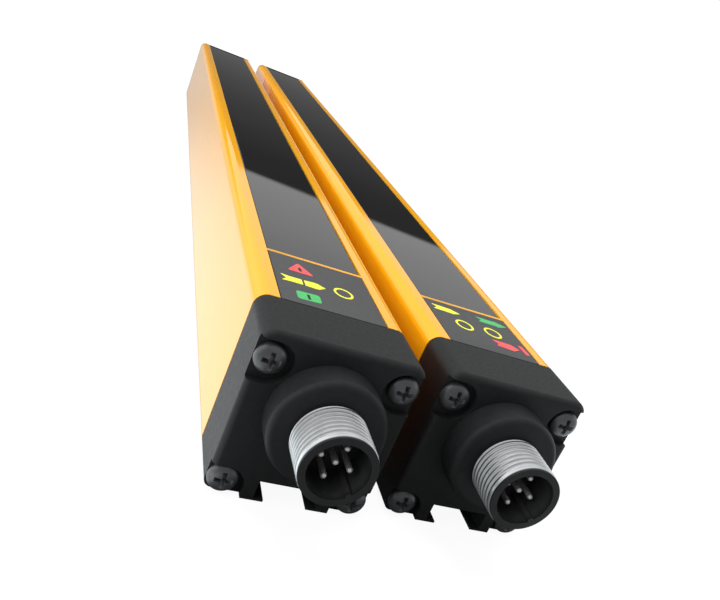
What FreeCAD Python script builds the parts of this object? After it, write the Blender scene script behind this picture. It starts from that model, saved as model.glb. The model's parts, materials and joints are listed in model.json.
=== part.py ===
import FreeCAD, Part
import math
import os

# Safety light curtain: an emitter bar and a receiver bar, stored side by side.
# Millimetres. +Z up (the optical windows look up), +Y along the bars away from
# the connectors, +X across the bars. The bars lie on their flat undersides, on
# both sides of the back T-slots, at Z = 0. The origin is the centre of the
# whole set's footprint.

V = FreeCAD.Vector

# ---------------------------------------------------------------- dimensions
WIDTH = 27.7              # bar section, across
HEIGHT = 30.0             # bar section, underside to window face
TOP_R = 2.4               # rounded top corners
LOW_R = 1.6               # rounded lower corners
LENGTH = 340.6            # cap front face to far end of the bar
CAP_LEN = 12.7            # connector cap
GASKET_T = 0.4            # end gaskets
END_PLATE_T = 1.2         # far end plate
PITCH = 33.0              # distance between the two bars
SET_BACK = 2.7            # the receiver lies this much further along +Y

# back T-slot
SLOT_MOUTH = 3.75         # half width at the mouth
SLOT_WIDE = 5.7           # half width at the widest
SLOT_WIDE_Z = 2.6
SLOT_ROOF = 5.4           # half width at the roof
SLOT_ROOF_Z = 3.85
CAP_SLOT_X = 5.5          # half width of the slot inside the connector cap
CAP_LIP = 0.4             # thin lips of the slot in the connector cap

# window seat and inside of the extrusion
SEAT_X = 9.85             # half width of the window seat
SEAT_Z = 27.4             # ledge under the window
WINDOW_X = 9.68
WINDOW_T = 2.0
WINDOW_TOP = 29.8
FILM_T = 0.2
NECK_X = 8.4              # half width between the upper screw channels
ROOM_X = 12.4             # half width of the main room
ROOM_Z0 = 6.0
ROOM_Z1 = 22.6
RAIL_X = 11.4
BOARD_Z = 11.6            # underside of the main board
BOARD_T = 1.6

# screws: ends of the housing, pan heads
SCREW_X = 11.2
SCREW_ZU = 25.1
SCREW_ZL = 2.75
HOLE_R = 1.25             # screw channels
CORE_R = 1.22             # screw shank
HEAD_R = 2.62
HEAD_H = 1.8
END_HEAD_H = 1.7          # flatter heads at the far end
SHANK_HOLE_R = 1.3        # screw holes in caps and gaskets
POCKET_D = 1.45           # corner pockets in the connector cap

# connector
CON_Z = 17.6              # axis height
BOSS_R = 9.5
BOSS_H = 5.3
THREAD_R = 6.0            # M12
THREAD_LEN = 8.25         # in front of the boss
RELIEF = 0.5              # undercut between the thread and the boss
NECK_R = 5.6              # sleeve behind the thread
BORE_R = 5.15             # inside of the sleeve
CAVITY_R = 4.75
CAVITY_Y = -6.6           # floor of the cavity
RIB_TURN = 40.0           # place of the coding rib, degrees from below
PIN_R = 0.5
PIN_PCD = 5.5
PIN_SET = 2.35            # pin tips behind the connector's front
KEY_TURN = 27.0           # the contact pattern is turned by this, degrees

# optics
BEAMS = 30
BEAM_PITCH = 10.0
BEAM_FIRST = 43.0

LEGEND = {"emitter": 21.6, "receiver": 18.6}   # length of the legend film

# ---------------------------------------------------------------- placing
con_front = -(BOSS_H + THREAD_LEN)
X_SHIFT = PITCH / 2.0
Y_SHIFT = (con_front + LENGTH + END_HEAD_H + SET_BACK) / 2.0
house_y0 = CAP_LEN + GASKET_T
house_y1 = LENGTH - END_PLATE_T - GASKET_T


# ---------------------------------------------------------------- helpers
def outline(pts, y=0.0):
    """Closed wire in the plane Y = y through (x, z, corner radius) points."""
    n = len(pts)
    edges = []
    ends = []
    for i in range(n):
        x, z, r = pts[i]
        p = V(x, y, z)
        if r <= 0:
            ends.append((p, p, None))
            continue
        a = V(pts[i - 1][0], y, pts[i - 1][1])
        b = V(pts[(i + 1) % n][0], y, pts[(i + 1) % n][1])
        u = (a - p).normalize()
        w = (b - p).normalize()
        ang = u.getAngle(w)
        t = r / math.tan(ang / 2.0)
        bis = (u + w).normalize()
        c = p + bis * (r / math.sin(ang / 2.0))
        ends.append((p + u * t, p + w * t, c - bis * r))
    for i in range(n):
        s, e, m = ends[i]
        if m is not None:
            edges.append(Part.Arc(s, m, e).toShape())
        nxt = ends[(i + 1) % n][0]
        if (nxt - e).Length > 1e-6:
            edges.append(Part.LineSegment(e, nxt).toShape())
    return Part.Wire(edges)


def prism(pts, y0, y1):
    """Solid with the (x, z, radius) outline from y0 to y1."""
    return Part.Face(outline(pts, y0)).extrude(V(0, y1 - y0, 0))


def box(x0, x1, y0, y1, z0, z1):
    return Part.makeBox(x1 - x0, y1 - y0, z1 - z0, V(x0, y0, z0))


def rod(x, z, r, y0, y1):
    """Cylinder along +Y."""
    return Part.makeCylinder(r, y1 - y0, V(x, y0, z), V(0, 1, 0))


def post(x, y, r, z0, z1):
    """Cylinder along +Z."""
    return Part.makeCylinder(r, z1 - z0, V(x, y, z0), V(0, 0, 1))


def fuse(shapes):
    s = shapes[0]
    if len(shapes) > 1:
        s = s.multiFuse(shapes[1:])
    return s.removeSplitter()


def mirrored(pts):
    """Left half outline, from the bottom middle round to the top, made whole."""
    right = [(-x, z, r) for x, z, r in reversed(pts)]
    return pts + right


def body_section(grow=0.0, square=False, low=LOW_R):
    """Outline of the bar. A negative grow draws it in all round.
    The connector cap has a square slot with thin lips."""
    g = grow
    left = [
        (-SLOT_ROOF + g, SLOT_ROOF_Z - g, 0.0),
        (-SLOT_WIDE + g, SLOT_WIDE_Z, 0.0),
        (-SLOT_MOUTH + g, 0.5, 0.0),
    ]
    if square:
        left = [
            (-CAP_SLOT_X, SLOT_ROOF_Z, 0.0),
            (-CAP_SLOT_X, CAP_LIP, 0.0),
            (-SLOT_MOUTH, CAP_LIP, 0.0),
        ]
    left += [
        (-SLOT_MOUTH + g, 0.0 - g, 0.0),
        (-WIDTH / 2 - g, 0.0 - g, max(0.0, low + g)),
        (-WIDTH / 2 - g, HEIGHT + g, TOP_R + g),
    ]
    return mirrored(left)


def inner_section():
    """Room inside the extrusion, open at the top through the window seat."""
    left = [
        (-ROOM_X, ROOM_Z0, 0.6),
        (-ROOM_X, BOARD_Z - 1.3, 0.0),
        (-RAIL_X, BOARD_Z - 1.3, 0.0),
        (-RAIL_X, BOARD_Z - 0.06, 0.0),
        (-ROOM_X, BOARD_Z - 0.06, 0.0),
        (-ROOM_X, BOARD_Z + BOARD_T + 0.06, 0.0),
        (-RAIL_X, BOARD_Z + BOARD_T + 0.06, 0.0),
        (-RAIL_X, BOARD_Z + BOARD_T + 1.2, 0.0),
        (-ROOM_X, BOARD_Z + BOARD_T + 1.2, 0.0),
        (-ROOM_X, ROOM_Z1, 0.6),
        (-NECK_X, ROOM_Z1, 0.0),
        (-NECK_X, SEAT_Z, 0.0),
        (-SEAT_X, SEAT_Z, 0.0),
        (-SEAT_X, HEIGHT + 2.0, 0.0),
    ]
    return mirrored(left)


corners = [(sx * SCREW_X, z) for z in (SCREW_ZU, SCREW_ZL) for sx in (-1, 1)]


def make_housing():
    """Painted aluminium extrusion: one section from end to end."""
    s = prism(body_section(), house_y0, house_y1)
    s = s.cut(prism(inner_section(), house_y0 - 1, house_y1 + 1))
    for x, z in corners:
        s = s.cut(rod(x, z, HOLE_R, house_y0 - 1, house_y1 + 1))
    return s.removeSplitter()


def make_window():
    z1 = WINDOW_TOP
    pts = [(-WINDOW_X, z1 - WINDOW_T, 0.0), (-WINDOW_X, z1, 0.25),
           (WINDOW_X, z1, 0.25), (WINDOW_X, z1 - WINDOW_T, 0.0)]
    return prism(pts, house_y0, house_y1)


def make_window_seals():
    """Two strips of sealing tape between the window and its ledges."""
    out = []
    for sx in (-1, 1):
        x0, x1 = sorted((sx * (NECK_X + 0.1), sx * (SEAT_X - 0.25)))
        out.append(box(x0, x1, house_y0 + 1.0, house_y1 - 1.0,
                       SEAT_Z, WINDOW_TOP - WINDOW_T))
    return Part.makeCompound(out)


def make_film(role):
    s = box(-WINDOW_X + 0.1, WINDOW_X - 0.1, house_y0 + 0.02,
            house_y0 + LEGEND[role], WINDOW_TOP, WINDOW_TOP + FILM_T)
    return s


def screw_holes(r, y0, y1):
    return [rod(x, z, r, y0, y1) for x, z in corners]


def make_cap():
    """Moulded connector cap with a round boss and four corner pockets."""
    # front layer: rounded at the sides and the top, sharp along the underside;
    # its lower corners go away with the pockets
    s = prism(body_section(square=True, low=0.0), 0.0, POCKET_D)
    front = []
    for e in s.Edges:
        b = e.BoundBox
        if b.YMax < 1e-4 and b.ZMax > 0.2:
            if abs(b.XMin) > SLOT_WIDE + 1 or b.ZMax > HEIGHT - 0.01:
                front.append(e)
    s = s.makeFillet(1.0, front)
    s = fuse([s, prism(body_section(square=True), POCKET_D, CAP_LEN)])
    # hollow inside, open at the back
    s = s.cut(prism([(-NECK_X, ROOM_Z0 + 0.4, 0.8), (-NECK_X, SEAT_Z - 0.4, 0.8),
                     (NECK_X, SEAT_Z - 0.4, 0.8), (NECK_X, ROOM_Z0 + 0.4, 0.8)],
                    3.0, CAP_LEN + 1))
    boss = Part.makeCylinder(BOSS_R, BOSS_H + 1.0, V(0, -BOSS_H, CON_Z), V(0, 1, 0))
    rim = [e for e in boss.Edges if abs(e.BoundBox.YMax + BOSS_H) < 1e-4
           and e.BoundBox.XLength > 2 * BOSS_R - 0.1]
    boss = boss.makeFillet(1.1, rim)
    s = s.fuse(boss).removeSplitter()
    # corner pockets, open to the sides, the lower ones also below
    low_x, low_z, low_r = 11.2, 1.85, 3.55
    big = 6.0
    for sx in (-1, 1):
        up = [rod(sx * 11.15, 24.83, 3.7, -1.0, POCKET_D)]
        x0, x1 = sorted((sx * 11.15, sx * (11.15 + big)))
        up.append(box(x0, x1, -1.0, POCKET_D, 24.83 - 3.7, 24.83 + 3.7))
        s = s.cut(fuse(up))
        lo = [rod(sx * low_x, low_z, low_r, -1.0, POCKET_D)]
        lo.append(box(x0, x1, -1.0, POCKET_D, -2.0, low_z + low_r))
        x2, x3 = sorted((sx * (low_x - low_r), sx * (low_x + big)))
        lo.append(box(x2, x3, -1.0, POCKET_D, -2.0, low_z))
        s = s.cut(fuse(lo))
    for h in screw_holes(SHANK_HOLE_R, POCKET_D - 0.5, CAP_LEN + 1):
        s = s.cut(h)
    s = s.cut(rod(0, CON_Z, NECK_R, -BOSS_H - 1, CAP_LEN + 1))
    return s.removeSplitter()


def make_gasket(y0, y1, opening=True):
    s = prism(body_section(-0.12), y0, y1)
    if opening:
        s = s.cut(prism([(-NECK_X, ROOM_Z0 + 0.6, 1.0), (-NECK_X, SEAT_Z - 0.6, 1.0),
                         (NECK_X, SEAT_Z - 0.6, 1.0), (NECK_X, ROOM_Z0 + 0.6, 1.0)],
                        y0 - 1, y1 + 1))
    for h in screw_holes(SHANK_HOLE_R, y0 - 1, y1 + 1):
        s = s.cut(h)
    return s.removeSplitter()


def pan_head(r, h, d):
    """Pan head along +Y, its seat at Y = 0, with a cross recess."""
    k = 0.62 * h
    low = h - k
    a = V(r * 0.5, -h, 0)
    b = V(r, -low, 0)
    q = math.sqrt(0.5)
    m = V(r * 0.5 + r * 0.5 * q, -low - k * q, 0)
    w = Part.Wire([Part.LineSegment(V(0, -h, 0), a).toShape(),
                   Part.Arc(a, m, b).toShape(),
                   Part.LineSegment(b, V(r, 0, 0)).toShape(),
                   Part.LineSegment(V(r, 0, 0), V(0, 0, 0)).toShape(),
                   Part.LineSegment(V(0, 0, 0), V(0, -h, 0)).toShape()])
    s = Part.Face(w).revolve(V(0, 0, 0), V(0, 1, 0), 360)
    if s.Volume < 0:
        s.reverse()
    arm = r * 0.52
    half = r * 0.13
    cross = []
    for turn in (0, 90):
        c = taper_bar(arm, half, -h - 0.2, -h + d)
        c.rotate(V(0, 0, 0), V(0, 1, 0), turn)
        cross.append(c)
    return s.cut(cross[0]).cut(cross[1])


def taper_bar(arm, half, y0, y1):
    """Narrowing bar, the long way along X, from y0 (wide) to y1 (narrow)."""
    def rect(y, a, b):
        p = [V(-a, y, -b), V(a, y, -b), V(a, y, b), V(-a, y, b)]
        return Part.makePolygon(p + [p[0]])
    return Part.makeLoft([rect(y0, arm, half), rect(y1, arm * 0.4, half * 0.6)], True)


def make_cap_screws():
    out = []
    for x, z in corners:
        h = pan_head(HEAD_R, HEAD_H, 1.1)
        h = fuse([h, Part.makeCylinder(CORE_R, 18.0, V(0, -0.3, 0), V(0, 1, 0))])
        h.translate(V(x, POCKET_D, z))
        out.append(h)
    return Part.makeCompound(out)


def make_end_screws():
    """Pan head screws of the far end plate."""
    out = []
    turns = (10.0, -35.0, 55.0, 25.0)
    for (x, z), t in zip(corners, turns):
        h = pan_head(HEAD_R, END_HEAD_H, 0.9)
        h = fuse([h, Part.makeCylinder(CORE_R, 12.0, V(0, -0.3, 0), V(0, 1, 0))])
        h.rotate(V(0, 0, 0), V(0, 1, 0), t)
        h.rotate(V(0, 0, 0), V(0, 0, 1), 180)
        h.translate(V(x, LENGTH, z))
        out.append(h)
    return Part.makeCompound(out)


def make_end_plate():
    """Thin moulded plate that closes the far end."""
    s = prism(body_section(), LENGTH - END_PLATE_T, LENGTH)
    back = [e for e in s.Edges if e.BoundBox.YMin > LENGTH - 1e-4
            and e.BoundBox.ZMax > 0.2
            and (abs(e.BoundBox.XMin) > SLOT_WIDE + 1 or e.BoundBox.ZMax > HEIGHT - 0.01)]
    s = s.makeFillet(0.5, back)
    for h in screw_holes(SHANK_HOLE_R, LENGTH - END_PLATE_T - 1, LENGTH + 1):
        s = s.cut(h)
    return s.removeSplitter()


def make_shell():
    """Metal sleeve of the connector; its outside carries the M12 thread."""
    y0 = con_front + 0.4
    s = rod(0, CON_Z, THREAD_R, y0, -BOSS_H - RELIEF)
    rim = [e for e in s.Edges if abs(e.BoundBox.YMax - y0) < 1e-4
           and e.BoundBox.XLength > 2 * THREAD_R - 0.1]
    s = s.makeChamfer(0.12, rim)
    s = fuse([s, rod(0, CON_Z, NECK_R, -BOSS_H - RELIEF - 0.5, 6.4),
              rod(0, CON_Z, 7.6, 3.9, 5.6)])
    return s.cut(rod(0, CON_Z, BORE_R, y0 - 1, 7.0))


def make_con_seal():
    """Ring between the sleeve's collar and the cap's inner wall."""
    s = rod(0, CON_Z, 7.4, 3.0, 3.9)
    return s.cut(rod(0, CON_Z, NECK_R, 2.0, 5.0))


def pin_spots():
    a = math.radians(KEY_TURN)
    r = PIN_PCD / 2.0
    spots = [(0.0, CON_Z)]
    for k in range(4):
        b = a + math.radians(45 + 90 * k)
        spots.append((r * math.cos(b), CON_Z + r * math.sin(b)))
    return spots


def make_insert():
    """Moulded contact carrier: round wall, floor and coding rib."""
    s = rod(0, CON_Z, BORE_R, con_front + 0.1, 6.4)
    lip = rod(0, CON_Z, 5.9, con_front, con_front + 0.4)
    s = fuse([s, lip])
    s = s.cut(rod(0, CON_Z, CAVITY_R, con_front - 1, CAVITY_Y))
    rib = box(-0.45, 0.45, con_front, CAVITY_Y + 0.2, -CAVITY_R - 0.2, -CAVITY_R + 0.45)
    rib.rotate(V(0, 0, 0), V(0, 1, 0), -RIB_TURN)
    rib.translate(V(0, 0, CON_Z))
    s = fuse([s, rib])
    for x, z in pin_spots():
        s = s.cut(rod(x, z, PIN_R, CAVITY_Y - 1, 7.0))
    return s.removeSplitter()


def make_pins():
    out = []
    for x, z in pin_spots():
        tip = con_front + PIN_SET
        s = rod(x, z, PIN_R, tip + 0.3, 8.4)
        s = fuse([s, Part.makeCone(0.25, PIN_R, 0.3, V(x, tip, z), V(0, 1, 0))])
        out.append(s)
    return Part.makeCompound(out)


def make_con_board():
    s = box(-7.6, 7.6, 7.2, 8.4, 8.0, 25.6)
    for x, z in pin_spots():
        s = s.cut(rod(x, z, PIN_R, 6.0, 10.0))
    for x in WIRE_X:
        s = s.cut(rod(x, WIRE_Z0, WIRE_R, 6.0, 10.0))
    return s


WIRE_X = (-4.0, -2.0, 0.0, 2.0, 4.0)
WIRE_R = 0.55
WIRE_Z0 = 23.0
WIRE_Z1 = 16.6


def make_wires():
    """Five short leads from the connector's board down to the main board."""
    out = []
    r = (WIRE_Z0 - WIRE_Z1) / 2.0
    for x in WIRE_X:
        y = 7.6
        pts = [V(x, y, WIRE_Z0), V(x, 10.2, WIRE_Z0)]
        c1 = V(x, 10.2, WIRE_Z0 - r)
        q = math.sqrt(0.5) * r
        m1 = c1 + V(0, q, q)
        p2 = V(x, 10.2 + r, WIRE_Z0 - r)
        c2 = V(x, 10.2 + 2 * r, WIRE_Z0 - r)
        m2 = c2 + V(0, -q, -q)
        p3 = V(x, 10.2 + 2 * r, WIRE_Z1)
        p4 = V(x, 19.0, WIRE_Z1)
        path = Part.Wire([Part.LineSegment(pts[0], pts[1]).toShape(),
                          Part.Arc(pts[1], m1, p2).toShape(),
                          Part.Arc(p2, m2, p3).toShape(),
                          Part.LineSegment(p3, p4).toShape()])
        ring = Part.Wire([Part.makeCircle(WIRE_R, pts[0], V(0, 1, 0))])
        s = path.makePipeShell([ring], True, True)
        if s.ShapeType != "Solid":
            s = Part.Solid(s)
        out.append(s)
    return Part.makeCompound(out)


def make_header():
    """Socket on the main board that the leads enter."""
    s = box(-6.0, 6.0, 18.4, 23.4, BOARD_Z + BOARD_T, 19.0)
    for x in WIRE_X:
        s = s.cut(rod(x, WIRE_Z1, WIRE_R, 17.0, 19.0))
    s = s.cut(box(-5.0, 5.0, 20.2, 22.2, 17.6, 20.0))
    return s


def make_board():
    """Main circuit board; it slides in the side grooves."""
    s = box(-ROOM_X + 0.15, ROOM_X - 0.15, house_y0 + 0.4, house_y1 - 0.4,
            BOARD_Z, BOARD_Z + BOARD_T)
    return s


def beam_ys():
    return [BEAM_FIRST + BEAM_PITCH * k for k in range(BEAMS)]


def make_beam_parts(role):
    """One infrared diode under each lens, on the main board."""
    out = []
    z = BOARD_Z + BOARD_T
    for y in beam_ys():
        if role == "emitter":
            b = box(-1.6, 1.6, y - 1.4, y + 1.4, z, z + 1.0)
            d = Part.makeSphere(1.25, V(0, y, z + 0.95), V(0, 0, 1), 0, 90, 360)
            out.append(fuse([b, d]))
        else:
            b = box(-2.0, 2.0, y - 1.9, y + 1.9, z, z + 1.2)
            out.append(b.cut(box(-1.4, 1.4, y - 1.3, y + 1.3, z + 1.0, z + 2.0)))
    return Part.makeCompound(out)


CARRIER_Y0 = 37.4
CARRIER_Y1 = BEAM_FIRST + BEAM_PITCH * (BEAMS - 1) + 4.6


def make_carrier():
    """Black optics carrier with one stepped light well for each beam."""
    zb = BOARD_Z + BOARD_T + 1.2
    s = box(-ROOM_X + 0.3, ROOM_X - 0.3, CARRIER_Y0, CARRIER_Y1, zb, ROOM_Z1 - 0.2)
    s = fuse([s, box(-NECK_X + 0.15, NECK_X - 0.15, CARRIER_Y0, CARRIER_Y1,
                     ROOM_Z1 - 1.0, 24.0)])
    wells = []
    for y in beam_ys():
        w = Part.makeCone(2.6, 3.9, 24.4 - zb + 0.4, V(0, y, zb - 0.2), V(0, 0, 1))
        wells.append(w)
    s = s.cut(Part.makeCompound(wells))
    return s


def make_lenses():
    """Clear moulded strip with one lens over each well."""
    z0 = 24.0
    s = box(-NECK_X + 0.3, NECK_X - 0.3, CARRIER_Y0, CARRIER_Y1, z0, z0 + 1.2)
    domes = []
    r_dome = 7.0
    r_lens = 4.2
    rise = r_dome - math.sqrt(r_dome ** 2 - r_lens ** 2)
    cut = Part.makeBox(40, 400, 20, V(-20, 20, z0 + 1.0 - 20))
    for y in beam_ys():
        d = Part.makeSphere(r_dome, V(0, y, z0 + 1.2 + rise - r_dome))
        domes.append(d.cut(cut))
    return fuse([s] + domes)


LED_SPOTS = {"emitter": [(-4.1, 28.9), (-4.2, 22.8), (-4.2, 16.9), (3.5, 23.0)],
             "receiver": [(-5.4, 28.0), (5.4, 28.0), (-3.2, 22.4), (3.3, 22.4), (4.3, 17.6)]}


def make_status_leds(role):
    out = []
    for x, y in LED_SPOTS[role]:
        out.append(box(x - 0.8, x + 0.8, y - 0.4, y + 0.4, 21.2, 21.9))
    return Part.makeCompound(out)


def make_status_board(role):
    """Small board under the legend that carries the indicators."""
    return box(-7.9, 7.9, house_y0 + 1.2, 35.6, 20.0, 21.2)


def make_board_posts():
    """Pin strip that joins the indicator board to the main board."""
    z0 = BOARD_Z + BOARD_T
    body = box(-5.0, 5.0, 30.6, 33.2, z0, 20.0)
    return body


def make_light_guide(role):
    """Clear comb that carries each indicator's light up to the window."""
    parts = [box(-7.9, 7.9, house_y0 + 1.2, 35.6, 24.0, 25.0)]
    for x, y in LED_SPOTS[role]:
        parts.append(box(x - 1.0, x + 1.0, y - 0.7, y + 0.7, 22.1, 27.6))
    for x, y in ((-6.9, 33.0), (6.9, 33.0), (-6.9, 15.6), (6.9, 15.6)):
        parts.append(post(x, y, 0.7, 21.2, 24.4))
    return fuse(parts)


def make_chips(role):
    """Square controller packages under the main board."""
    out = []
    ys = (60.0, 78.0, 200.0) if role == "emitter" else (60.0, 78.0, 150.0, 240.0)
    for y in ys:
        c = box(-4.5, 4.5, y - 4.5, y + 4.5, BOARD_Z - 1.4, BOARD_Z)
        out.append(c.makeFillet(0.2, [e for e in c.Edges
                                      if e.BoundBox.ZLength > 1.3]))
    return Part.makeCompound(out)


def make_capacitors():
    """Round supply capacitors under the main board."""
    out = []
    for x, y in ((-6.0, 36.0), (0.0, 36.0), (6.0, 36.0), (-6.0, 320.0), (6.0, 320.0)):
        c = post(x, y, 2.5, 6.6, BOARD_Z)
        e = [e for e in c.Edges if abs(e.BoundBox.ZMax - 6.6) < 1e-4
             and e.BoundBox.XLength > 4.9]
        out.append(c.makeFillet(0.3, e))
    return Part.makeCompound(out)


def make_ground_spring():
    """Bent strip that bonds the board to the housing floor."""
    t = 0.3
    w = 4.0
    y = 100.0
    prof = [V(0, y, ROOM_Z0), V(0, y + 7, ROOM_Z0), V(0, y + 10.6, BOARD_Z - t),
            V(0, y + 15, BOARD_Z - t), V(0, y + 15, BOARD_Z), V(0, y + 10.4, BOARD_Z),
            V(0, y + 6.8, ROOM_Z0 + t), V(0, y, ROOM_Z0 + t)]
    f = Part.Face(Part.makePolygon(prof + [prof[0]]))
    s = f.extrude(V(w, 0, 0))
    s.translate(V(-w / 2, 0, 0))
    return s


def make_end_foam():
    """Block at the far end that holds board and optics against shocks."""
    return box(-7.8, 7.8, CARRIER_Y1 + 0.2, house_y1, 15.0, 23.4)


# ---------------------------------------------------------------- both bars
def build(role):
    m = {
        "housing": make_housing(),
        "front_window": make_window(),
        "window_seals": make_window_seals(),
        "legend_film": make_film(role),
        "connector_cap": make_cap(),
        "cap_gasket": make_gasket(CAP_LEN, house_y0),
        "cap_screws": make_cap_screws(),
        "end_plate": make_end_plate(),
        "end_gasket": make_gasket(house_y1, LENGTH - END_PLATE_T, False),
        "end_screws": make_end_screws(),
        "connector_sleeve": make_shell(),
        "connector_seal": make_con_seal(),
        "contact_carrier": make_insert(),
        "contact_pins": make_pins(),
        "connector_board": make_con_board(),
        "connector_leads": make_wires(),
        "lead_socket": make_header(),
        "main_board": make_board(),
        "optics_carrier": make_carrier(),
        "lens_strip": make_lenses(),
        "status_board": make_status_board(role),
        "status_lamps": make_status_leds(role),
        "status_header": make_board_posts(),
        "light_guide": make_light_guide(role),
        "controller_chips": make_chips(role),
        "supply_capacitors": make_capacitors(),
        "ground_spring": make_ground_spring(),
        "end_block": make_end_foam(),
    }
    m["infrared_lamps" if role == "emitter" else "light_sensors"] = make_beam_parts(role)
    return m


os.makedirs("parts", exist_ok=True)
for role, dx, dy in (("emitter", 0.0, 0.0), ("receiver", PITCH, SET_BACK)):
    for name, shape in build(role).items():
        shape.translate(V(dx - X_SHIFT, dy - Y_SHIFT, 0.0))
        node = role + "_" + name
        solids = shape.Solids
        bad = [i for i, q in enumerate(solids) if not q.isValid() or q.Volume <= 0]
        print("%-32s solids %3d  volume %10.1f  %s" % (
            node, len(solids), sum(q.Volume for q in solids),
            "BAD %s" % bad if bad or not solids else "ok"))
        shape.exportStep("parts/%s.step" % node)
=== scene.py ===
import json
import math

import bpy
import bmesh
from mathutils import Matrix, Vector


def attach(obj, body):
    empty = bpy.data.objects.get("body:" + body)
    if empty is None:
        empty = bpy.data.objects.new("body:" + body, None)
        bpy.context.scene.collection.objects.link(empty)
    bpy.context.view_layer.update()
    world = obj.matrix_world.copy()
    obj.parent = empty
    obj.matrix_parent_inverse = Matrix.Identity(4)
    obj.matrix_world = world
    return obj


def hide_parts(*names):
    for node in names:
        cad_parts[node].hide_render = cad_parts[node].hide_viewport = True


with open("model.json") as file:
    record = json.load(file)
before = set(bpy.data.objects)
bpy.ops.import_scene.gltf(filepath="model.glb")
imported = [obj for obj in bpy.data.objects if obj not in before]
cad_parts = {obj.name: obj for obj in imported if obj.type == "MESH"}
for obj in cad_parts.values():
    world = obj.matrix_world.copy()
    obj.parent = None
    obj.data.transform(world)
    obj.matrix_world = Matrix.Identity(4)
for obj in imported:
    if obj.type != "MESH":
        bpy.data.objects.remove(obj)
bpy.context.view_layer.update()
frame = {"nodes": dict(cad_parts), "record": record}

scene = bpy.context.scene
nodes = frame["nodes"]

# ------------------------------------------------------------------ places
# Millimetres in a bar's own frame: x from the bar's centre line, y from the
# front of its connector cap, z from the underside. Each bar sits in the row frame
# at its own offset.
Y_SHIFT = (-13.55 + 340.6 + 1.7 + 2.7) / 2.0
BARS = {"emitter": (-16.5, -Y_SHIFT), "receiver": (16.5, 2.7 - Y_SHIFT)}
CON_FRONT = -13.55
CON_Z = 17.6
FILM_Y0 = 13.12
LEGEND_END = {"emitter": 34.3, "receiver": 31.4}
TOP = 30.0


def at(role, x, y, z):
    dx, dy = BARS[role]
    return Vector(((x + dx) * 0.001, (y + dy) * 0.001, z * 0.001))


# ------------------------------------------------------------------ materials
class Tree:
    """Small helper round a material's node tree."""

    def __init__(self, name):
        self.mat = bpy.data.materials.new(name)
        self.mat.use_nodes = True
        self.t = self.mat.node_tree
        self.t.nodes.clear()
        self.out = self.t.nodes.new("ShaderNodeOutputMaterial")
        self.bsdf = self.t.nodes.new("ShaderNodeBsdfPrincipled")
        self.t.links.new(self.bsdf.outputs[0], self.out.inputs[0])
        self.co = self.t.nodes.new("ShaderNodeTexCoord").outputs["Object"]

    def set(self, **values):
        for k, v in values.items():
            self.bsdf.inputs[k.replace("_", " ")].default_value = v
        return self

    def link(self, a, b):
        self.t.links.new(a, b)

    def noise(self, scale, detail=2.0, rough=0.5, stretch=None):
        n = self.t.nodes.new("ShaderNodeTexNoise")
        n.inputs["Scale"].default_value = scale
        n.inputs["Detail"].default_value = detail
        n.inputs["Roughness"].default_value = rough
        src = self.co
        if stretch:
            m = self.t.nodes.new("ShaderNodeMapping")
            m.inputs["Scale"].default_value = stretch
            self.link(src, m.inputs["Vector"])
            src = m.outputs[0]
        self.link(src, n.inputs["Vector"])
        return n.outputs["Fac"]

    def voronoi(self, scale):
        n = self.t.nodes.new("ShaderNodeTexVoronoi")
        n.inputs["Scale"].default_value = scale
        self.link(self.co, n.inputs["Vector"])
        return n.outputs["Distance"]

    def ramp(self, fac, a, b, lo=0.35, hi=0.65):
        r = self.t.nodes.new("ShaderNodeValToRGB")
        r.color_ramp.elements[0].position = lo
        r.color_ramp.elements[1].position = hi
        r.color_ramp.elements[0].color = (*a, 1.0)
        r.color_ramp.elements[1].color = (*b, 1.0)
        self.link(fac, r.inputs[0])
        return r.outputs[0]

    def span(self, fac, lo, hi, f0=0.3, f1=0.7):
        m = self.t.nodes.new("ShaderNodeMapRange")
        m.inputs["From Min"].default_value = f0
        m.inputs["From Max"].default_value = f1
        m.inputs["To Min"].default_value = lo
        m.inputs["To Max"].default_value = hi
        self.link(fac, m.inputs["Value"])
        return m.outputs[0]

    def bump(self, fac, height, strength=1.0, chain=None):
        b = self.t.nodes.new("ShaderNodeBump")
        b.inputs["Strength"].default_value = strength
        b.inputs["Distance"].default_value = height
        self.link(fac, b.inputs["Height"])
        if chain is not None:
            self.link(chain, b.inputs["Normal"])
        return b.outputs[0]


def moulded(name, a, b, rough, grain=5200.0, height=0.000004, spec=0.5):
    """Moulded plastic with a fine spark-eroded grain."""
    m = Tree(name)
    m.set(IOR=1.5, Specular_IOR_Level=spec)
    m.link(m.ramp(m.noise(900.0, 3.0), a, b), m.bsdf.inputs["Base Color"])
    m.link(m.span(m.noise(1500.0, 3.0), rough - 0.04, rough + 0.04), m.bsdf.inputs["Roughness"])
    m.link(m.bump(m.noise(grain, 2.0, 0.6), height), m.bsdf.inputs["Normal"])
    return m.mat


def painted():
    """Gloss powder coat: warm yellow with a faint orange peel."""
    m = Tree("yellow_coat")
    m.set(IOR=1.5, Specular_IOR_Level=0.5)
    m.link(m.ramp(m.noise(60.0, 2.0), (0.920, 0.416, 0.0062), (0.945, 0.430, 0.0078)),
           m.bsdf.inputs["Base Color"])
    m.link(m.span(m.noise(900.0, 2.0), 0.035, 0.055), m.bsdf.inputs["Roughness"])
    peel = m.bump(m.noise(650.0, 2.0, 0.5), 0.00000025)
    m.link(m.bump(m.noise(120.0, 1.0), 0.0000006, 1.0, peel), m.bsdf.inputs["Normal"])
    return m.mat


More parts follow.
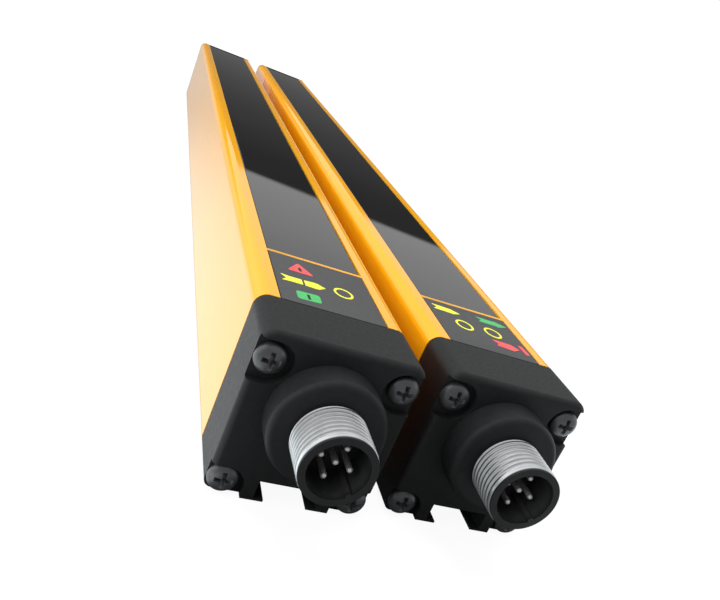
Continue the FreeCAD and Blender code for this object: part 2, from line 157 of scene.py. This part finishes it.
def window_glass():
    m = Tree("dark_window")
    m.set(IOR=1.5, Specular_IOR_Level=0.5)
    m.link(m.ramp(m.noise(40.0, 2.0), (0.009, 0.009, 0.010), (0.011, 0.011, 0.012)),
           m.bsdf.inputs["Base Color"])
    m.link(m.span(m.noise(300.0, 2.0), 0.010, 0.020), m.bsdf.inputs["Roughness"])
    m.link(m.bump(m.noise(90.0, 1.0), 0.0000002), m.bsdf.inputs["Normal"])
    return m.mat


def film(name, a, b, rough=0.42, glow=None):
    """Printed film: satin surface with a very fine tooth."""
    m = Tree(name)
    m.set(IOR=1.45, Specular_IOR_Level=0.35)
    m.link(m.ramp(m.noise(700.0, 3.0), a, b), m.bsdf.inputs["Base Color"])
    m.link(m.span(m.noise(2500.0, 2.0), rough - 0.04, rough + 0.04), m.bsdf.inputs["Roughness"])
    m.link(m.bump(m.noise(6000.0, 2.0), 0.0000015), m.bsdf.inputs["Normal"])
    if glow:
        m.set(Emission_Color=(*glow[0], 1.0), Emission_Strength=glow[1])
    return m.mat


def metal(name, a, b, rough, brushed=None, height=0.0000012, wear=3000.0, metallic=1.0):
    m = Tree(name)
    m.set(Metallic=metallic)
    m.link(m.ramp(m.noise(450.0, 3.0), a, b), m.bsdf.inputs["Base Color"])
    m.link(m.span(m.noise(wear, 3.0, stretch=brushed), rough * 0.8, rough * 1.25),
           m.bsdf.inputs["Roughness"])
    m.link(m.bump(m.noise(wear, 2.0, stretch=brushed), height), m.bsdf.inputs["Normal"])
    return m.mat


def rubber(name, level, grain=1800.0):
    m = Tree(name)
    m.set(IOR=1.45, Specular_IOR_Level=0.3)
    m.link(m.ramp(m.noise(1100.0, 4.0), (level, level, level * 1.05),
                  (level * 1.5, level * 1.5, level * 1.6)), m.bsdf.inputs["Base Color"])
    m.link(m.span(m.noise(grain, 3.0), 0.7, 0.9), m.bsdf.inputs["Roughness"])
    m.link(m.bump(m.voronoi(grain), 0.00001, 0.6), m.bsdf.inputs["Normal"])
    return m.mat


def board():
    """Circuit board: green resist over a faint copper pattern."""
    m = Tree("board_resist")
    m.set(IOR=1.5)
    brick = m.t.nodes.new("ShaderNodeTexBrick")
    brick.inputs["Scale"].default_value = 260.0
    brick.inputs["Color1"].default_value = (0.012, 0.10, 0.04, 1)
    brick.inputs["Color2"].default_value = (0.016, 0.13, 0.05, 1)
    brick.inputs["Mortar"].default_value = (0.03, 0.20, 0.08, 1)
    brick.inputs["Mortar Size"].default_value = 0.04
    m.link(m.co, brick.inputs["Vector"])
    m.link(brick.outputs["Color"], m.bsdf.inputs["Base Color"])
    m.link(m.span(m.noise(900.0, 2.0), 0.3, 0.45), m.bsdf.inputs["Roughness"])
    m.link(m.bump(brick.outputs["Fac"], 0.00002, 0.4), m.bsdf.inputs["Normal"])
    return m.mat


def clear(name, tint, rough=0.05):
    m = Tree(name)
    m.set(IOR=1.49, Transmission_Weight=1.0)
    m.link(m.ramp(m.noise(300.0, 2.0), tint, tuple(min(1.0, c * 1.03) for c in tint)),
           m.bsdf.inputs["Base Color"])
    m.link(m.span(m.noise(500.0, 2.0), rough * 0.7, rough * 1.4), m.bsdf.inputs["Roughness"])
    m.link(m.bump(m.noise(200.0, 1.0), 0.000001), m.bsdf.inputs["Normal"])
    return m.mat


MATS = {
    "yellow_paint": painted(),
    "window_dark": window_glass(),
    "legend_print": film("legend_panel", (0.060, 0.061, 0.063), (0.066, 0.067, 0.069)),
    "black_moulding": moulded("black_housing_plastic", (0.0122, 0.0128, 0.0134), (0.0144, 0.0151, 0.0158), 0.50,
                              height=0.0000025, spec=0.27),
    "black_rubber": rubber("seal_rubber", 0.008),
    "dark_screw": metal("blackened_screw", (0.118, 0.122, 0.126), (0.142, 0.147, 0.151), 0.38,
                        height=0.0000008, metallic=0.75),
    "plated_sleeve": metal("nickel_plate", (0.76, 0.78, 0.79), (0.83, 0.85, 0.86), 0.34),
    "contact_metal": metal("plated_contact", (0.86, 0.85, 0.82), (0.92, 0.91, 0.88), 0.34, metallic=0.82),
    "board_green": board(),
    "clear_optics": clear("clear_moulding", (0.93, 0.95, 0.96)),
    "chip_black": moulded("package_black", (0.014, 0.014, 0.015), (0.020, 0.020, 0.021), 0.55, 4000.0),
    "diode_resin": clear("tinted_resin", (0.35, 0.12, 0.22), 0.08),
    "lead_jacket": moulded("lead_insulation", (0.30, 0.015, 0.015), (0.38, 0.025, 0.022), 0.45, 2500.0),
    "foam_grey": rubber("cell_foam", 0.10, 900.0),
}


def carrier(role):
    """Contact carrier: satin black, with painted light making the colour a shade lighter deeper in its cavity."""
    m = Tree("carrier_black_" + role)
    m.set(IOR=1.5, Specular_IOR_Level=0.40)
    sep = m.t.nodes.new("ShaderNodeSeparateXYZ")
    m.link(m.co, sep.inputs[0])
    front = (CON_FRONT + BARS[role][1]) * 0.001
    # painted light: the base colour turns from near black at the front to a lighter grey deeper in the cavity,
    # standing in for light falling into the cavity
    cavity_painted_light = m.span(sep.outputs["Y"], 0.0, 1.0, front + 0.0001, front + 0.0012)
    mix = m.t.nodes.new("ShaderNodeMix")
    mix.data_type = "RGBA"                   # colour sockets: 6 and 7 in, 2 out
    m.link(cavity_painted_light, mix.inputs[0])
    m.link(m.ramp(m.noise(900.0, 3.0), (0.0080, 0.0083, 0.0087), (0.0102, 0.0105, 0.0110)), mix.inputs[6])
    m.link(m.ramp(m.noise(700.0, 3.0), (0.0240, 0.0245, 0.0250), (0.0300, 0.0305, 0.0310)), mix.inputs[7])
    m.link(mix.outputs[2], m.bsdf.inputs["Base Color"])
    m.link(m.span(m.noise(1500.0, 3.0), 0.36, 0.44), m.bsdf.inputs["Roughness"])
    m.link(m.bump(m.noise(6000.0, 2.0, 0.6), 0.000004), m.bsdf.inputs["Normal"])
    return m.mat


CARRIERS = {role: carrier(role) for role in BARS}
MARKS = {
    "red": film("print_red", (0.88, 0.085, 0.095), (0.93, 0.105, 0.115), 0.35),
    "yellow": film("print_yellow", (0.93, 0.90, 0.045), (0.96, 0.94, 0.060), 0.35),
    "green": film("print_green", (0.060, 0.470, 0.130), (0.075, 0.510, 0.150), 0.35),
    "black": film("print_black", (0.006, 0.006, 0.006), (0.009, 0.009, 0.009), 0.35),
}

slot_of = {s["node"]: s["material_slot"] for s in frame["record"]["subparts"]}
for name, o in nodes.items():
    m = MATS[slot_of[name]]
    if name.endswith("contact_carrier"):
        m = CARRIERS[name.split("_")[0]]
    o.data.materials.clear()
    o.data.materials.append(m)


# ------------------------------------------------------------------ mesh tools
def finish_piece(name, me, mat, replaces=None, angle=32.0):
    me.materials.append(mat)
    for p in me.polygons:
        p.use_smooth = True
    me.set_sharp_from_angle(angle=math.radians(angle))
    o = bpy.data.objects.new(name, me)
    scene.collection.objects.link(o)
    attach(o, "root")
    if replaces:
        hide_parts(replaces)
    return o


def lathe_mesh(name, role, cx, cz, profile, seg, radius=None):
    """Closed ring profile (y, r) turned about an axis along +Y at (cx, cz)."""
    verts, faces = [], []
    n = len(profile)
    for y, r in profile:
        for k in range(seg):
            a = 2.0 * math.pi * k / seg
            rr = radius(y, r, a) if radius else r
            verts.append(at(role, cx + rr * math.cos(a), y, cz + rr * math.sin(a)))
    for i in range(n):
        j = (i + 1) % n
        for k in range(seg):
            l = (k + 1) % seg
            faces.append((i * seg + k, i * seg + l, j * seg + l, j * seg + k))
    me = bpy.data.meshes.new(name)
    me.from_pydata(verts, [], faces)
    bm = bmesh.new()
    bm.from_mesh(me)
    bmesh.ops.remove_doubles(bm, verts=bm.verts, dist=1e-8)
    bmesh.ops.recalc_face_normals(bm, faces=bm.faces)
    bm.to_mesh(me)
    bm.free()
    return me


def smoothstep(t):
    t = min(1.0, max(0.0, t))
    return t * t * (3.0 - 2.0 * t)


def thread_sleeve(role):
    """Threaded connector sleeve: M12 x 1 helix that runs in softly at the front, collar inside the cap."""
    y0 = CON_FRONT + 0.4
    t0, t1 = y0 + 0.30, -5.80
    pitch, depth, crest, neck = 1.0, 0.33, 6.05, 5.58

    def radius(y, r, a):
        if r != crest or y < t0 - 1e-9 or y > t1 + 1e-9:
            return r
        t = (y / pitch + a / (2.0 * math.pi)) % 1.0
        v = abs(2.0 * t - 1.0)              # 1 at the crest, 0 at the root
        v = smoothstep((v - 0.08) / 0.66)
        run = (0.50 + 0.50 * smoothstep((y - t0) / 1.2)) * smoothstep((t1 - y) / 0.35)
        run *= smoothstep((y - t0) / 0.12)
        return crest - depth * (1.0 - v) * run

    prof = [(y0, 5.16), (y0, 5.88), (y0 + 0.05, 5.95), (y0 + 0.14, 6.00), (t0 - 0.02, 6.04)]
    steps = 165
    prof += [(t0 + (t1 - t0) * k / steps, crest) for k in range(steps + 1)]
    prof += [(-5.72, 5.90), (-5.62, neck), (3.9, neck), (3.9, 7.5), (4.0, 7.6), (5.5, 7.6), (5.6, 7.5),
             (5.6, neck), (6.4, neck), (6.4, 5.16)]
    me = lathe_mesh("sleeve", role, 0.0, CON_Z, prof, 216, radius)
    finish_piece(role + "_threaded_sleeve", me, MATS["plated_sleeve"],
                 role + "_connector_sleeve", 60.0)


def pin_spots():
    a = math.radians(27.0)
    spots = [(0.0, CON_Z)]
    for k in range(4):
        b = a + math.radians(45 + 90 * k)
        spots.append((2.75 * math.cos(b), CON_Z + 2.75 * math.sin(b)))
    return spots


def contact_pins(role):
    """Five contact pins with rounded tips."""
    tip = CON_FRONT + 2.10
    bm = bmesh.new()
    for x, z in pin_spots():
        # from the tip's centre out to the shaft
        prof =[(tip + 0.42 * (1 - math.cos(math.pi / 2 * k / 8)), max(0.002, 0.498 * math.sin(math.pi / 2 * k / 8)))
                for k in range(9)]
        prof += [(-5.2, 0.498), (-5.2 + 0.05, 0.47), (8.35, 0.47), (8.4, 0.42), (8.4, 0.002)]
        seg = 28
        rings = []
        for y, r in prof:
            ring = []
            for k in range(seg):
                a = 2.0 * math.pi * k / seg
                ring.append(bm.verts.new(at(role, x + r * math.cos(a), y, z + r * math.sin(a))))
            rings.append(ring)
        for i in range(len(rings) - 1):
            for k in range(seg):
                l = (k + 1) % seg
                bm.faces.new((rings[i][k], rings[i][l], rings[i + 1][l], rings[i + 1][k]))
        bm.faces.new(list(reversed(rings[0])))
        bm.faces.new(rings[-1])
    bmesh.ops.recalc_face_normals(bm, faces=bm.faces)
    me = bpy.data.meshes.new("pins")
    bm.to_mesh(me)
    bm.free()
    finish_piece(role + "_rounded_pins", me, MATS["contact_metal"],
                 role + "_contact_pins", 50.0)


SCREWS = [(sx * 11.2, z) for z in (25.1, 2.75) for sx in (-1, 1)]


def cross_depth(u, v):
    """Depth of the cross recess at (u, v) in the head's face."""
    best = 0.0
    for a, b in ((abs(u), abs(v)), (abs(v), abs(u))):
        floor = min(1.05, max(0.0, (1.52 - a) * 1.15))
        half = 0.24 + 0.12 * a / 1.5
        wall = smoothstep((half + 0.07 - b) / 0.10)
        best = max(best, floor * wall)
    core = smoothstep((0.62 - math.hypot(u, v)) / 0.16) * 0.80
    return max(best, core)


def cap_screws(role):
    """Domed screw heads with a cross recess, on plain shanks."""
    apex, rim_y, seat, rad = -0.34, 0.93, 1.45, 2.61
    rings, seg = 58, 128
    bm = bmesh.new()
    for cx, cz in SCREWS:
        loops = []
        mid = bm.verts.new(at(role, cx, apex + cross_depth(0.0, 0.0), cz))
        for i in range(1, rings + 1):
            r = rad * (i / rings) ** 0.9
            q = min(1.0, r / rad)
            y = rim_y - (rim_y - apex) * (1.0 - q ** 2.3) ** 0.55
            ring = []
            for k in range(seg):
                a = 2.0 * math.pi * k / seg
                u, v = r * math.cos(a), r * math.sin(a)
                ring.append(bm.verts.new(at(role, cx + u, y + cross_depth(u, v), cz + v)))
            loops.append(ring)
        for y, r in ((seat - 0.08, rad), (seat, rad - 0.06), (seat, 1.2), (19.2, 1.2), (19.45, 0.95)):
            loops.append([bm.verts.new(at(role, cx + r * math.cos(2.0 * math.pi * k / seg), y,
                                          cz + r * math.sin(2.0 * math.pi * k / seg))) for k in range(seg)])
        for k in range(seg):
            bm.faces.new((mid, loops[0][k], loops[0][(k + 1) % seg]))
        for i in range(len(loops) - 1):
            for k in range(seg):
                l = (k + 1) % seg
                bm.faces.new((loops[i][k], loops[i][l], loops[i + 1][l], loops[i + 1][k]))
        bm.faces.new(loops[-1])
    bmesh.ops.recalc_face_normals(bm, faces=bm.faces)
    me = bpy.data.meshes.new("screws")
    bm.to_mesh(me)
    bm.free()
    finish_piece(role + "_domed_screws", me, MATS["dark_screw"],
                 role + "_cap_screws", 40.0)


def rounded(pts, r, n=5):
    """Polygon with its corners rounded: pts are (x, y) or (x, y, own radius)."""
    out = []
    m = len(pts)
    for i in range(m):
        p = Vector(pts[i][:2])
        rr = pts[i][2] if len(pts[i]) > 2 else r
        a = Vector(pts[i - 1][:2]) - p
        b = Vector(pts[(i + 1) % m][:2]) - p
        la, lb = a.length, b.length
        a.normalize()
        b.normalize()
        ang = a.angle(b)
        t = min(rr / math.tan(ang / 2.0), 0.48 * la, 0.48 * lb)
        if rr <= 0 or t < 1e-4:
            out.append((p.x, p.y))
            continue
        s, e = p + a * t, p + b * t
        for k in range(n + 1):
            u = k / n
            q = s.lerp(p, u).lerp(p.lerp(e, u), u)
            out.append((q.x, q.y))
    return out


def plates(name, role, polys, z0, z1, mat, replaces=None, bevel=0.0):
    """Thin raised shapes: each poly is (outer points, list of hole loops)."""
    bm = bmesh.new()
    for outer, holes in polys:
        tops, bots = [], []
        loops = [outer] + list(holes)
        edges_top, edges_bot = [], []
        for lp in loops:
            vt = [bm.verts.new(at(role, x, y, z1)) for x, y in lp]
            vb = [bm.verts.new(at(role, x, y, z0)) for x, y in lp]
            tops.append(vt)
            bots.append(vb)
            n = len(lp)
            for i in range(n):
                j = (i + 1) % n
                bm.faces.new((vt[i], vt[j], vb[j], vb[i]))
        if not holes:
            bm.faces.new(tops[0])
            bm.faces.new(list(reversed(bots[0])))
        else:
            for vs in (tops, bots):
                n = len(vs[0])
                assert len(vs) == 2 and len(vs[1]) == n
                for i in range(n):
                    j = (i + 1) % n
                    bm.faces.new((vs[0][i], vs[0][j], vs[1][j], vs[1][i]))
    bmesh.ops.recalc_face_normals(bm, faces=bm.faces)
    if bevel > 0:
        top = [e for e in bm.edges
               if all(abs(v.co.z - z1 * 0.001) < 1e-7 for v in e.verts) and not e.is_manifold is False
               and any(abs(f.normal.z) < 0.5 for f in e.link_faces)]
        bmesh.ops.bevel(bm, geom=top, offset=bevel * 0.001, segments=2, affect="EDGES", profile=0.6)
    bmesh.ops.triangulate(bm, faces=[f for f in bm.faces if len(f.verts) > 4])
    me = bpy.data.meshes.new(name)
    bm.to_mesh(me)
    bm.free()
    return finish_piece(role + "_" + name, me, mat, replaces, 25.0)


def circle(cx, cy, rx, ry, n=48):
    return [(cx + rx * math.cos(2 * math.pi * k / n), cy + ry * math.sin(2 * math.pi * k / n))
            for k in range(n)]


FILM_TOP = 29.97
PRINT_TOP = 29.995


def legend(role):
    y1 = LEGEND_END[role]
    outer = rounded([(-9.62, FILM_Y0), (9.62, FILM_Y0), (9.62, y1), (-9.62, y1)], 0.25)
    plates("legend_panel", role, [(outer, [])], 29.8, FILM_TOP, MATS["legend_print"],
           role + "_legend_film", 0.03)
    bar = rounded([(-9.83, y1 + 0.02), (9.83, y1 + 0.02), (9.83, y1 + 0.92), (-9.83, y1 + 0.92)], 0.05, 3)
    plates("legend_border", role, [(bar, [])], 29.8, 30.0, MATS["yellow_paint"],
           None, 0.06)
    z0, z1 = FILM_TOP - 0.01, PRINT_TOP

    def put(name, colour, polys, lift=0.0):
        plates(name, role, polys, z0 + lift, z1 + lift, MARKS[colour])

    if role == "emitter":
        put("mark_red", "red", [(rounded([(-4.07, 31.75), (-6.75, 27.15), (-1.50, 27.10)], 0.45), [])])
        put("mark_dot", "black", [(circle(-4.10, 28.70, 0.36, 0.95, 24), [])], 0.004)
        left = [(-8.55, 24.2), (-6.9, 23.9), (-4.52, 23.9), (-4.52, 21.65), (-6.9, 21.65), (-8.55, 21.5),
                (-7.55, 22.75)]
        right = [(-4.08, 23.90), (-2.2, 24.10), (-1.35, 23.95), (-0.05, 22.80), (-1.5, 21.50), (-2.2, 21.45),
                 (-4.08, 21.65)]
        put("mark_yellow", "yellow", [(rounded(left, 0.12, 3), []), (rounded(right, 0.12, 3), [])])
        put("mark_green", "green", [(rounded([(-6.45, 15.05), (-2.05, 15.35), (-2.05, 18.55), (-6.45, 18.25)], 0.7), [])])
        put("mark_slot", "black", [(rounded([(-4.52, 15.65), (-4.0, 15.70), (-4.0, 17.75), (-4.52, 17.70)], 0.2), [])], 0.004)
        put("mark_ring", "yellow", [(circle(3.48, 23.05, 1.92, 2.10), [circle(3.48, 23.05, 1.46, 1.58)])])
    else:
        put("mark_arrow_in", "yellow", [(rounded([(-8.55, 29.3), (-4.1, 28.85), (-2.25, 27.6), (-4.1, 26.7),
                                                 (-8.55, 27.1), (-7.45, 28.2)], 0.15, 3), [])])
        put("mark_arrow_out", "green", [(rounded([(1.85, 29.2), (6.2, 29.0), (6.2, 29.35), (9.05, 27.85), (6.2, 26.5),
                                                  (6.2, 26.9), (1.85, 27.0), (2.9, 28.1)], 0.15, 3), [])])
        put("mark_rings", "yellow", [(circle(-3.25, 22.4, 1.94, 2.10), [circle(-3.25, 22.4, 1.47, 1.58)]),
                                     (circle(3.30, 22.5, 1.94, 2.10), [circle(3.30, 22.5, 1.47, 1.58)])])
        put("mark_stop", "red", [(rounded([(1.50, 19.15), (4.4, 18.95), (5.8, 18.85), (7.2, 17.4), (5.5, 16.2),
                                           (3.6, 16.5), (1.9, 16.75), (2.5, 17.85)], 0.15, 3), []),
                                 (rounded([(7.75, 19.6), (8.70, 19.6), (9.05, 16.1), (8.10, 16.0)], 0.15, 3), [])])


for role in BARS:
    thread_sleeve(role)
    contact_pins(role)
    cap_screws(role)
    legend(role)

# ------------------------------------------------------------------ floor
fm = Tree("studio_floor")
fm.t.nodes.remove(fm.bsdf)
emit = fm.t.nodes.new("ShaderNodeEmission")
diff = fm.t.nodes.new("ShaderNodeBsdfDiffuse")
add = fm.t.nodes.new("ShaderNodeAddShader")
path = fm.t.nodes.new("ShaderNodeLightPath")
geo = fm.t.nodes.new("ShaderNodeNewGeometry")
sep = fm.t.nodes.new("ShaderNodeSeparateXYZ")
fm.link(geo.outputs["Position"], sep.inputs[0])
X, Y = sep.outputs["X"], sep.outputs["Y"]


def fstep(v, a, b, lo, hi):
    """Smooth step in the floor's tree: lo at a, hi at b; lo and hi may be sockets."""
    n = fm.t.nodes.new("ShaderNodeMapRange")
    n.interpolation_type = "SMOOTHSTEP"
    n.inputs["From Min"].default_value = a
    n.inputs["From Max"].default_value = b
    for key, x in (("To Min", lo), ("To Max", hi)):
        if isinstance(x, (int, float)):
            n.inputs[key].default_value = x
        else:
            fm.link(x, n.inputs[key])
    fm.link(v, n.inputs["Value"])
    return n.outputs[0]


# what the pieces see: bright on the left, dim in front and between the bars
left_level = fstep(Y, -0.17, 0.17, 1.22, 0.46)
right_level = 1.05
inner = fstep(Y, 0.180, 0.200, 0.03, 0.50)
level_x = fstep(X, 0.0305, 0.0335, fstep(X, -0.0300, -0.0312, inner, left_level), right_level)
seen = fstep(Y, -0.180, -0.200, level_x, 0.27)
pick = fm.t.nodes.new("ShaderNodeMix")
pick.inputs["B"].default_value = 0.93
fm.link(path.outputs["Is Camera Ray"], pick.inputs["Factor"])
fm.link(seen, pick.inputs["A"])
grain = fm.ramp(fm.noise(8.0, 2.0), (0.925, 0.98, 1.005), (0.94, 0.99, 1.02))
white = fm.t.nodes.new("ShaderNodeMix")
white.data_type = "RGBA"                     # colour sockets: 6 and 7 in, 2 out
white.inputs[7].default_value = (1.0, 1.0, 1.0, 1.0)
fm.link(path.outputs["Is Camera Ray"], white.inputs[0])
fm.link(grain, white.inputs[6])
fm.link(white.outputs[2], emit.inputs["Color"])
fm.link(pick.outputs["Result"], emit.inputs["Strength"])
diff.inputs["Color"].default_value = (0.10, 0.10, 0.10, 1.0)
fm.link(emit.outputs[0], add.inputs[0])
fm.link(diff.outputs[0], add.inputs[1])
fm.link(add.outputs[0], fm.out.inputs[0])

bm = bmesh.new()
bmesh.ops.create_grid(bm, x_segments=8, y_segments=8, size=6.0)
me = bpy.data.meshes.new("studio_floor")
bm.to_mesh(me)
bm.free()
me.transform(Matrix.Translation((0.0, 0.0, -0.0002)))
me.materials.append(fm.mat)
floor = bpy.data.objects.new("studio_floor", me)
scene.collection.objects.link(floor)

# ------------------------------------------------------------------ light
world = bpy.data.worlds.new("studio")
scene.world = world
world.use_nodes = True
wt = world.node_tree
wt.nodes.clear()


def wnode(kind, **values):
    n = wt.nodes.new(kind)
    for k, v in values.items():
        n.inputs[k.replace("_", " ")].default_value = v
    return n


def wmath(op, a, b=None, c=None):
    n = wt.nodes.new("ShaderNodeMath")
    n.operation = op
    for i, v in enumerate((a, b, c)):
        if v is None:
            continue
        if isinstance(v, (int, float)):
            n.inputs[i].default_value = v
        else:
            wt.links.new(v, n.inputs[i])
    return n.outputs[0]


def wramp(fac, stops):
    r = wt.nodes.new("ShaderNodeValToRGB")
    els = r.color_ramp.elements
    for e, (p, v) in ((els[0], stops[0]), (els[1], stops[-1])):
        e.position = p
        e.color = (v, v, v, 1.0)
    for p, v in stops[1:-1]:
        els.new(p).color = (v, v, v, 1.0)
    wt.links.new(fac, r.inputs[0])
    return r.outputs[0]


co = wt.nodes.new("ShaderNodeTexCoord").outputs["Generated"]
ws = wt.nodes.new("ShaderNodeSeparateXYZ")
wt.links.new(co, ws.inputs[0])
up = wmath("ARCSINE", ws.outputs["Z"])
deg = wmath("MULTIPLY", up, 180.0 / math.pi / 90.0)          # 0 at the horizon, 1 overhead
# towards the far end: a dark wall whose straight upper edge stands at 13.25 degrees, then a bright ceiling
wall = wramp(deg, [(0.0, 0.55), (0.04, 0.36), (0.050, 0.27), (0.067, 0.160), (0.078, 0.126), (0.0933, 0.092),
                   (0.111, 0.068), (0.1317, 0.039), (1.0, 0.036)])
ceiling = wramp(deg, [(0.0, 0.74), (0.147, 0.74), (0.18, 0.76), (0.24, 0.70), (0.34, 0.66), (0.6, 0.84), (1.0, 0.78)])
# behind the camera: dim
near_sky = wramp(deg, [(0.0, 0.23), (0.35, 0.30), (0.7, 0.58), (1.0, 0.78)])
# sides
side_sky = wramp(deg, [(0.0, 0.85), (0.17, 0.95), (0.4, 1.12), (0.7, 0.95), (1.0, 0.78)])
flat = wmath("SQRT", wmath("MAXIMUM", wmath("SUBTRACT", 1.0, wmath("MULTIPLY", ws.outputs["Z"], ws.outputs["Z"])), 1e-6))
ny = wmath("DIVIDE", ws.outputs["Y"], flat)
nx = wmath("DIVIDE", ws.outputs["X"], flat)


def wrange(v, a, b, lo=0.0, hi=1.0):
    m = wnode("ShaderNodeMapRange", From_Min=a, From_Max=b, To_Min=lo, To_Max=hi)
    m.interpolation_type = "SMOOTHSTEP"
    wt.links.new(v, m.inputs["Value"])
    return m.outputs[0]


def wmix(f, a, b):
    m = wt.nodes.new("ShaderNodeMix")
    wt.links.new(f, m.inputs["Factor"])
    wt.links.new(a, m.inputs["A"])
    wt.links.new(b, m.inputs["B"])
    return m.outputs["Result"]


def scalar(colour):
    n = wt.nodes.new("ShaderNodeRGBToBW")
    wt.links.new(colour, n.inputs[0])
    return n.outputs[0]


turn = math.radians(14.0)
away = wmath("ADD", wmath("MULTIPLY", ws.outputs["X"], math.sin(turn)), wmath("MULTIPLY", ws.outputs["Y"], math.cos(turn)))
rise = wmath("MULTIPLY", wmath("ARCTAN2", ws.outputs["Z"], away), 180.0 / math.pi)
far_sky = wmix(wrange(rise, 13.10, 13.42), scalar(wall), scalar(ceiling))
w_far = wmath("MULTIPLY", wrange(ny, 0.35, 0.70), wrange(nx, -0.46, -0.16))
w_near = wrange(ny, -0.35, -0.80)
level = wmix(w_far, scalar(side_sky), far_sky)
level = wmix(w_near, level, scalar(near_sky))
# a little less from the right at middle heights, so that no seam shows from above and the low light stays
right = wmath("MULTIPLY", wrange(nx, 0.6, 0.9, 0.0, 0.54), wrange(ws.outputs["Z"], 0.70, 0.95, 1.0, 0.0))
right = wmath("MULTIPLY", right, wrange(ws.outputs["Z"], 0.25, 0.60, 0.0, 1.0))
level = wmath("MULTIPLY", level, wmath("SUBTRACT", 1.0, right))
lp = wt.nodes.new("ShaderNodeLightPath")
one = wnode("ShaderNodeValue")
one.outputs[0].default_value = 1.05
level = wmix(lp.outputs["Is Camera Ray"], level, one.outputs[0])
bg = wt.nodes.new("ShaderNodeBackground")
bg.inputs["Color"].default_value = (1.0, 1.0, 1.0, 1.0)
wt.links.new(level, bg.inputs["Strength"])
wo = wt.nodes.new("ShaderNodeOutputWorld")
wt.links.new(bg.outputs[0], wo.inputs[0])

# two soft fills: one overhead, one low from the left and a little in front
for name, energy, angle, toward in (("fill_top", 1.45, 24.0, (-0.05, 0.0, 1.0)),
                                    ("fill_left", 1.60, 42.0, (-0.85, -0.30, 0.44))):
    fill_data = bpy.data.lights.new(name, "SUN")
    fill_data.energy = energy
    fill_data.angle = math.radians(angle)
    fill = bpy.data.objects.new(name, fill_data)
    scene.collection.objects.link(fill)
    fill.matrix_world = Vector(toward).to_track_quat("Z", "Y").to_matrix().to_4x4()
    fill.visible_glossy = False

# ------------------------------------------------------------------ camera
cam_data = bpy.data.cameras.new("camera")
cam_data.sensor_width = 36.0
cam_data.lens = 746.209 / 720.0 * 36.0
cam_data.clip_start = 0.005
cam_data.clip_end = 50.0
cam = bpy.data.objects.new("camera", cam_data)
scene.collection.objects.link(cam)
right_axis = Vector((0.90147979, -0.21257649, 0.37702179))
down_axis = Vector((0.26186744, -0.42568251, -0.86615232))
view_axis = Vector((0.3446152, 0.87954854, -0.32807731))
place = Vector((-39.71 - 16.5, -95.83 - Y_SHIFT, 74.03)) * 0.001
cols = (right_axis.normalized(), (-down_axis).normalized(), (-view_axis).normalized())
cam.matrix_world = Matrix(((cols[0].x, cols[1].x, cols[2].x, place.x),
                           (cols[0].y, cols[1].y, cols[2].y, place.y),
                           (cols[0].z, cols[1].z, cols[2].z, place.z),
                           (0.0, 0.0, 0.0, 1.0)))
scene.camera = cam

scene.view_settings.view_transform = "Standard"
scene.view_settings.look = "None"
scene.view_settings.exposure = 0.0
scene.view_settings.gamma = 1.0
